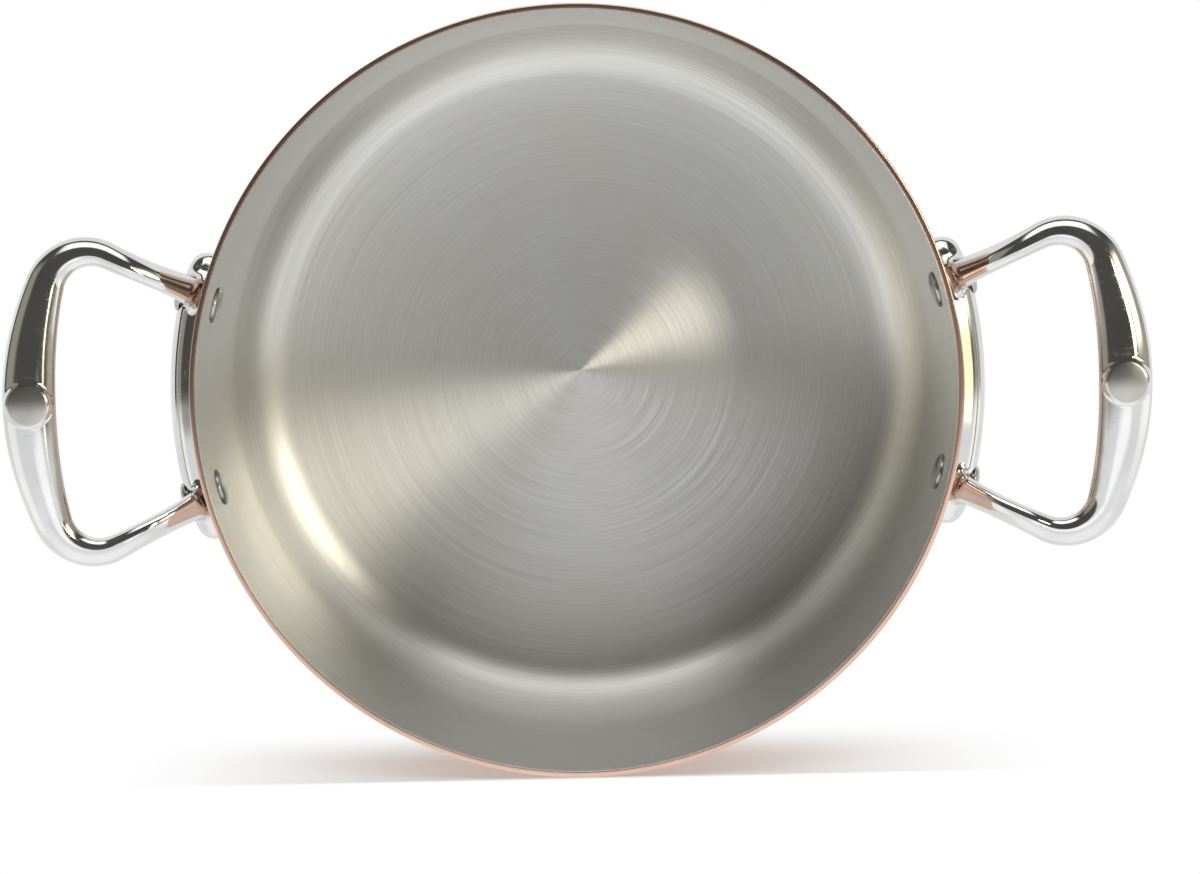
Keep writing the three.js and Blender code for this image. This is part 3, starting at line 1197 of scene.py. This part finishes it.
    def gap(self, points: np.ndarray) -> np.ndarray:
        """Distances to the whole casting on +X, less than 0 inside it.

        Args:
            points: Points in millimetres, one in a row.

        Returns:
            The distances.
        """
        x, side, z = points[:, 0], np.abs(points[:, 1]), points[:, 2]
        across = x - math.sqrt(self.wall_radius**2 - self.root_y**2)
        height, steep = self.climb(across)
        middle = self.rivets.height + self.lift + height - side**2 / (2 * self.crown)
        up = (z - middle) / np.hypot(1, steep)
        grip = joined(self.loop(across, side, up), self.pad(across, side, up), self.pad_fillet)
        cast = joined(self.plate(x, side, z), grip, self.fillet)
        cosine, sine = math.cos(self.rivets.angle), math.sin(self.rivets.angle)
        out = x * cosine + side * sine
        aside = side * cosine - x * sine
        from_rivet = np.hypot(aside, z - self.rivets.height)
        spot = self.wall_radius + self.plate_thickness - self.spot_depth
        ring = from_rivet - self.rivets.outer_diameter / 2 - self.spot_room
        room = shared(ring, spot - out, self.bore_edge)
        cast = shared(cast, -room, self.spot_edge)
        cast = shared(cast, self.rivets.hole_diameter / 2 - from_rivet, self.bore_edge)
        return shared(cast, self.wall_radius + self.seat_gap - np.hypot(x, side), self.seat_edge)

    def slope(self, points: np.ndarray) -> np.ndarray:
        """The field's gradient, by differences over a short step.

        Args:
            points: Points in millimetres, one in a row.

        Returns:
            The gradients.
        """
        shifts = np.eye(3) * self.probe
        rises = [self.gap(points + shift) - self.gap(points - shift) for shift in shifts]
        return np.stack(rises, axis=1) / (2 * self.probe)

    def axes(self) -> list[np.ndarray]:
        """The net's planes along X, Y and Z, closer together over the pad."""
        start, closer, end = self.net_x
        x = [np.arange(start, closer, self.coarse), np.arange(closer, end, self.fine)]
        near, far, edge = self.net_y
        y = [np.arange(self.fine / 2, near, self.fine), np.arange(far, edge, self.coarse)]
        half = np.concatenate(y)
        return [np.concatenate(x), np.concatenate([-half[::-1], half]), np.arange(*self.net_z)]

    def net(self) -> tuple[np.ndarray, np.ndarray]:
        """A net of quads round the field's zero.

        Every cell of the grid that the surface passes through gets a point, the mean of where the
        surface cuts its edges, and every edge that is cut gets a quad between the four cells round
        it.

        Returns:
            The points and the quads.
        """
        axes = self.axes()
        grid = np.stack(np.meshgrid(*axes, indexing="ij"), axis=-1)
        gap = self.gap(grid.reshape(-1, 3)).reshape(grid.shape[:3])
        cells = tuple(count - 1 for count in gap.shape)
        total = np.zeros((*cells, 3))
        cuts = np.zeros(cells)
        crossed = []
        for axis in range(3):
            value, place = np.moveaxis(gap, axis, 0), np.moveaxis(grid, axis, 0)
            low, high = value[:-1], value[1:]
            cut = (low < 0) != (high < 0)
            share = np.where(cut, low / np.where(cut, low - high, 1.0), 0.0)[..., None]
            point = np.where(cut[..., None], place[:-1] + share * (place[1:] - place[:-1]), 0.0)
            sums, counts = np.moveaxis(total, axis, 0), np.moveaxis(cuts, axis, 0)
            rows, columns = cut.shape[1] - 1, cut.shape[2] - 1
            for i, j in ((0, 0), (0, 1), (1, 0), (1, 1)):
                sums += point[:, i : rows + i, j : columns + j]
                counts += cut[:, i : rows + i, j : columns + j]
            crossed.append((cut, low < 0))
        filled = cuts > 0
        number = np.full(cells, -1)
        number[filled] = np.arange(filled.sum())
        quads = []
        for axis, (cut, inside) in enumerate(crossed):
            cell = np.moveaxis(number, axis, 0)
            inner = cut[:, 1:-1, 1:-1]
            ring = [cell[:, :-1, :-1], cell[:, 1:, :-1], cell[:, 1:, 1:], cell[:, :-1, 1:]]
            faces = np.stack([each[inner] for each in ring], axis=1)
            outward = inside[:, 1:-1, 1:-1][inner] != (axis == 1)
            quads.append(np.where(outward[:, None], faces, faces[:, ::-1]))
        return total[filled] / cuts[filled][:, None], np.concatenate(quads)

    def skin(self) -> Skin:
        """The casting's surface: the net, evened out and drawn onto the field's zero a few times.

        Each round moves a point part of the way to the mean of its neighbours, then by
        -d g / |g|^2, where d is the field's distance there and g its gradient.

        Returns:
            The closed surface with the field's own normals.
        """
        points, quads = self.net()
        start = quads.ravel()
        end = np.roll(quads, -1, axis=1).ravel()
        owner, other = np.concatenate([start, end]), np.concatenate([end, start])
        count = np.bincount(owner, minlength=len(points))[:, None]
        for evening in self.evenings:
            sums = [np.bincount(owner, points[other, i], len(points)) for i in range(3)]
            points = points + evening * (np.stack(sums, axis=1) / count - points)
            slope = self.slope(points)
            steep = np.maximum(np.sum(slope**2, axis=1), self.least_slope)
            points = points - slope * (self.gap(points) / steep)[:, None]
        slope = self.slope(points)
        normals = slope / np.maximum(np.linalg.norm(slope, axis=1), TINY)[:, None]
        return Skin(points, quads, np.empty((0, 3), dtype=int), np.zeros(len(points)), normals)

    def build(self) -> None:
        """Makes both handles: one casting, and the same one turned half round."""
        skin = self.skin()
        for side in Side:
            node = f"handle_{side.name.lower()}"
            turned = skin.moved(Matrix.Rotation(side.value, 4, "Z"))
            adopt(turned.piece(f"{node}_cast", HANDLE_FINISH), node)


@dataclass(frozen=True)
class Softbox:
    """A soft light in the room, seen from the pot, with its strength and its colour.

    In degrees, it has its azimuth about Z, its tilt from +Z, its half width and half height, and
    how far its edges fade to both sides.
    """

    name: str
    azimuth: float
    tilt: float
    wide: float
    high: float
    blur: float
    strength: float
    tint: Colour = WHITE

    def axes(self) -> tuple[Vector, Vector, Vector]:
        """The directions towards it, along its width and up it."""
        turn, tilt = math.radians(self.azimuth), math.radians(self.tilt)
        out = Vector((math.cos(turn), math.sin(turn), 0.0)) * math.sin(tilt)
        way = out + Vector((0.0, 0.0, math.cos(tilt)))
        across = Vector((-math.sin(turn), math.cos(turn), 0.0))
        return way, across, way.cross(across)

    def share(self, sheet: NodeSheet, way: Socket) -> Socket:
        """How much of the light is seen along a direction.

        Both of the direction's parts across the light, divided by its part towards it, fade out
        round the edges.

        Args:
            sheet: The world's nodes.
            way: The direction.

        Returns:
            The share, from 0 to 1.
        """
        towards, across, up = self.axes()
        ahead = sheet.vector("DOT_PRODUCT", way, towards).outputs["Value"]
        share = sheet.spread(ahead, *FRONT_SPAN)
        depth = sheet.maths("MAXIMUM", ahead, LEAST_AHEAD)
        for axis, half in ((across, self.wide), (up, self.high)):
            part = sheet.vector("DOT_PRODUCT", way, axis).outputs["Value"]
            aside = sheet.maths("ABSOLUTE", sheet.maths("DIVIDE", part, depth))
            edges = (math.tan(math.radians(half + fade)) for fade in (-self.blur, self.blur))
            inside = sheet.spread(aside, *edges, 1.0, 0.0, smooth=True)
            share = sheet.maths("MULTIPLY", share, inside)
        return share


@dataclass(frozen=True)
class Shade:
    """A partly painted shadow on a white floor, and the matt floor's colour there."""

    colour: Colour = (0.9, 0.9, 0.9)
    depth: float = 0.85

    def share(self, sheet: NodeSheet) -> Socket:
        """How much of the painted shadow lies at a point.

        Args:
            sheet: The material's nodes.

        Returns:
            The share, from 0 to 1.
        """
        raise NotImplementedError


@dataclass(frozen=True)
class RoundShade(Shade):
    """A painted shadow that fades out round the foot of the pot."""

    inner: float = 0.112
    outer: float = 0.128

    def share(self, sheet: NodeSheet) -> Socket:
        """The painted shadow's share by the distance from the pot's axis."""
        away = sheet.vector("LENGTH", sheet.position()).outputs["Value"]
        return sheet.spread(away, self.inner, self.outer, self.depth, 0.0, smooth=True)


@dataclass(frozen=True)
class StripShade(Shade):
    """A painted shadow along the line where the pot lies against the side floor.

    It fades to both sides round half, by fade, comes in from back to full, and goes out in front
    of the rim from front to end.
    """

    half: float = 0.085
    fade: float = 0.07
    back: float = 0.03
    full: float = 0.095
    front: float = 0.1235
    end: float = 0.1285

    def share(self, sheet: NodeSheet) -> Socket:
        """The painted shadow's share by the distance along the floor and forwards of the rim.

        Args:
            sheet: The material's nodes.

        Returns:
            The share, from 0 to 1.
        """
        parts = sheet.parts(sheet.position())
        aside = sheet.maths("ABSOLUTE", parts["X"])
        edges = (self.half - self.fade, self.half + self.fade)
        wide = sheet.spread(aside, *edges, self.depth, 0.0, smooth=True)
        behind = sheet.spread(parts["Z"], self.back, self.full, smooth=True)
        ahead = sheet.spread(parts["Z"], self.front, self.end, 1.0, 0.0, smooth=True)
        return sheet.maths("MULTIPLY", wide, sheet.maths("MULTIPLY", behind, ahead))


@dataclass
class Studio:
    """A pale floor under the pot, one beside it with a partly painted soft shadow, and soft lights.
    """

    room: Colour = (0.085, 0.083, 0.075)
    floor: Colour = (0.95, 0.96, 0.97)
    plain: Colour = (0.8, 0.8, 0.8)
    horizon: Span = (-0.06, -0.13)
    ground_half: float = 2500.0
    ground_level: float = -0.05
    side_half: float = 1500.0
    side_level: float = -120.05
    side_height: float = 700.0
    floor_steps: int = 16
    softboxes: list[Softbox] = field(
        default_factory=lambda: [
            Softbox("warm_key", 21.0, 29.0, 7.5, 2.8, 1.0, 13.5, (1.0, 0.94, 0.78)),
            Softbox("warm_top", 20.0, 48.0, 10.0, 12.0, 4.0, 2.0, (1.0, 0.94, 0.78)),
            Softbox("warm_low", -2.5, 29.0, 5.6, 2.8, 1.0, 1.6, (1.0, 0.91, 0.56)),
            Softbox("warm_side", 5.0, 75.0, 28.0, 28.0, 10.0, 0.38, (1.0, 0.94, 0.76)),
            Softbox("overhead", 89.0, 60.0, 24.0, 16.0, 5.0, 1.8),
            Softbox("left_side", 180.0, 60.0, 36.0, 18.0, 6.0, 0.28, (1.0, 0.94, 0.76)),
            Softbox("floor_right", 298.0, 14.0, 11.0, 7.0, 4.0, 0.38),
            Softbox("floor_front", 270.0, 62.0, 32.0, 30.0, 12.0, 0.22),
        ]
    )

    def world(self) -> None:
        """Lights the room: each softbox glows in its direction, and the camera sees white."""
        world = bpy.data.worlds.new("studio")
        bpy.context.scene.world = world
        sheet = blank_sheet(world)
        way = sheet.add("ShaderNodeTexCoord").outputs["Generated"]
        below = sheet.spread(sheet.parts(way)["Y"], *self.horizon, smooth=True)
        light = sheet.tint(below, self.room, self.floor)
        for box in self.softboxes:
            glow = tuple(box.strength * part for part in box.tint)
            light = sheet.tint(box.share(sheet, way), light, glow, "ADD")
            light.node.name = box.name
        lit = sheet.add("ShaderNodeBackground", {"Color": light}).outputs[0]
        white = sheet.add("ShaderNodeBackground", {"Color": opaque(WHITE)}).outputs[0]
        seen = sheet.add("ShaderNodeLightPath").outputs["Is Camera Ray"]
        sheet.add("ShaderNodeOutputWorld", {"Surface": sheet.blended(seen, lit, white)})

    def sheet_of_floor(self, name: str, outline: list[Point]) -> bpy.types.Object:
        """A flat floor as a fine grid between four corners.

        Its points are (1-u)(1-v) A + u(1-v) B + uv C + (1-u)v D.

        Args:
            name: The floor's name.
            outline: Its corners A to D in millimetres, in turn, seen from its front.

        Returns:
            The floor, marked as stage.
        """
        count = self.floor_steps + 1
        u, v = np.meshgrid(np.linspace(0, 1, count), np.linspace(0, 1, count))
        weights = np.stack([(1 - u) * (1 - v), u * (1 - v), u * v, (1 - u) * v], axis=-1)
        points = weights.reshape(-1, 4) @ np.array(outline) * MM
        number = np.arange(count * count).reshape(count, count)
        ring = [number[:-1, :-1], number[:-1, 1:], number[1:, 1:], number[1:, :-1]]
        mesh = bpy.data.meshes.new(name)
        mesh.from_pydata(points.tolist(), [], np.stack(ring, axis=-1).reshape(-1, 4).tolist())
        floor = bpy.data.objects.new(name, mesh)
        bpy.context.scene.collection.objects.link(floor)
        floor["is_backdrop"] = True
        return floor

    def paper(self, name: str, shade: Shade) -> bpy.types.Material:
        """White paper with a partly painted soft shadow near the pot, plain white elsewhere.

        Args:
            name: The material's name.
            shade: Where the painted shadow lies.

        Returns:
            The material.
        """
        material = bpy.data.materials.new(name)
        sheet = blank_sheet(material)
        white = sheet.add("ShaderNodeEmission", {"Color": opaque(WHITE)}).outputs[0]
        matt = sheet.add("ShaderNodeBsdfDiffuse", {"Color": opaque(shade.colour)}).outputs[0]
        # painted shadow: where the share rises, the white gives way to lit matt paper, which is
        # greyer even in full light; the pot's real shadow shows inside it
        paper = sheet.blended(shade.share(sheet), white, matt)
        path = sheet.add("ShaderNodeLightPath").outputs
        seen = sheet.maths("MAXIMUM", path["Is Camera Ray"], path["Is Glossy Ray"])
        seen = sheet.maths("MAXIMUM", seen, path["Is Transmission Ray"])
        plain = sheet.add("ShaderNodeBsdfDiffuse", {"Color": opaque(self.plain)}).outputs[0]
        front = sheet.blended(seen, plain, paper)
        back = sheet.add("ShaderNodeBsdfTransparent").outputs[0]
        away = sheet.add("ShaderNodeNewGeometry").outputs["Backfacing"]
        shown = sheet.blended(away, front, back)
        sheet.add("ShaderNodeOutputMaterial", {"Surface": shown})
        return material

    def build(self) -> None:
        """Makes the floors and the lights."""
        self.world()
        half, z = self.ground_half, self.ground_level
        outline = [(-half, -half, z), (half, -half, z), (half, half, z), (-half, half, z)]
        ground = self.sheet_of_floor("pale_floor", outline)
        # each floor gets a painted shadow round the pot, with the pot's real shadow inside it
        ground.data.materials.append(self.paper("pale_floor_paper", RoundShade()))
        half, y, top = self.side_half, self.side_level, self.side_height
        outline = [(-half, y, top), (half, y, top), (half, y, 0.0), (-half, y, 0.0)]
        rest = self.sheet_of_floor("pale_side_floor", outline)
        rest.data.materials.append(self.paper("side_floor_paper", StripShade()))
        rest.visible_glossy = False
        rest.visible_diffuse = False
        rest.visible_shadow = False
        log.info("floors and %d soft lights", len(self.softboxes))


@dataclass
class Camera:
    """The camera: where it stands, how it is turned and its focal length.

    Its turn is an axis times an angle in degrees, and its focal length is in pixels of a frame of
    that width.
    """

    position: Point = (14.22, 67.83, 1143.0)
    turn: Point = (-4.576, 0.359, -1.247)
    focal: float = 3299.9
    frame_width: float = 1200.0
    sensor: float = 36.0
    clip: Span = (0.01, 20.0)

    def build(self) -> None:
        """Makes the camera and gives it to the scene."""
        data = bpy.data.cameras.new("camera")
        data.sensor_width = self.sensor
        data.lens = self.focal / self.frame_width * self.sensor
        data.clip_start, data.clip_end = self.clip
        camera = bpy.data.objects.new("camera", data)
        bpy.context.scene.collection.objects.link(camera)
        axis = Vector(self.turn)
        turned = Matrix.Rotation(math.radians(axis.length), 4, axis.normalized())
        camera.matrix_world = Matrix.Translation(Vector(self.position) * MM) @ turned
        bpy.context.scene.camera = camera


def corners() -> list[list[float]]:
    """The shown object's lowest and highest corner as plain lists."""
    return [[float(part) for part in corner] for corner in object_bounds()]


def main() -> None:
    """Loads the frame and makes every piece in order."""
    logging.basicConfig(level=logging.INFO, format="%(name)s: %(message)s")
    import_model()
    bpy.context.scene.view_settings.view_transform = "Standard"
    Camera().build()
    Studio().build()
    rivets = Rivets()
    CladBody().build(rivets)
    CastHandle(rivets).build()
    rivets.build()


if __name__ == "__main__":
    main()
